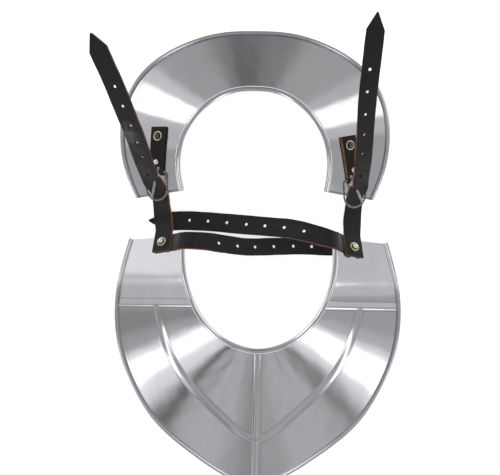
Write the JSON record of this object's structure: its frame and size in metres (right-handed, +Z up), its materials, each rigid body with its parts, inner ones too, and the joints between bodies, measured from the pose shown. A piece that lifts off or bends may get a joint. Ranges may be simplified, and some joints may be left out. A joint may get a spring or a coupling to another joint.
{
  "type": "steel gorget",
  "caption": "Steel gorget opened flat: ribbed front plate and plain back plate with rolled edges, joined by buckled leather shoulder straps, with loose cross straps.",
  "frame": {"origin": "on the table under the middle of the whole object's bounding box", "axes": "+X towards the right of the picture, +Y from the front plate's point to the back plate's crown, +Z up from the table"},
  "size_m": [0.3074, 0.4702, 0.0972],
  "materials": {
    "plate_steel": "polished, with faint hand polishing marks",
    "leather": "black grained, raw brown cut edges",
    "buckle_wire": "dull grey wire",
    "rivet_steel": "bright, hammered over",
    "washer_brass": "pale brass, worn bright"
  },
  "bodies": {
    "root": {"back_plate": "plate_steel", "buckle_frame_left": "buckle_wire", "buckle_frame_right": "buckle_wire", "buckle_prong_left": "buckle_wire", "buckle_prong_right": "buckle_wire", "buckle_tab_left": "leather", "buckle_tab_right": "leather", "cross_strap_lower": "leather", "cross_strap_upper": "leather", "front_plate": "plate_steel", "rivet_front_left": "rivet_steel", "rivet_front_right": "rivet_steel", "rivet_tab_left_lower": "rivet_steel", "rivet_tab_left_upper": "rivet_steel", "rivet_tab_right_lower": "rivet_steel", "rivet_tab_right_upper": "rivet_steel", "shoulder_strap_left": "leather", "shoulder_strap_right": "leather", "washer_front_left": "washer_brass", "washer_front_right": "washer_brass", "washer_tab_left_upper": "washer_brass", "washer_tab_right_upper": "washer_brass"}
  },
  "joints": []
}
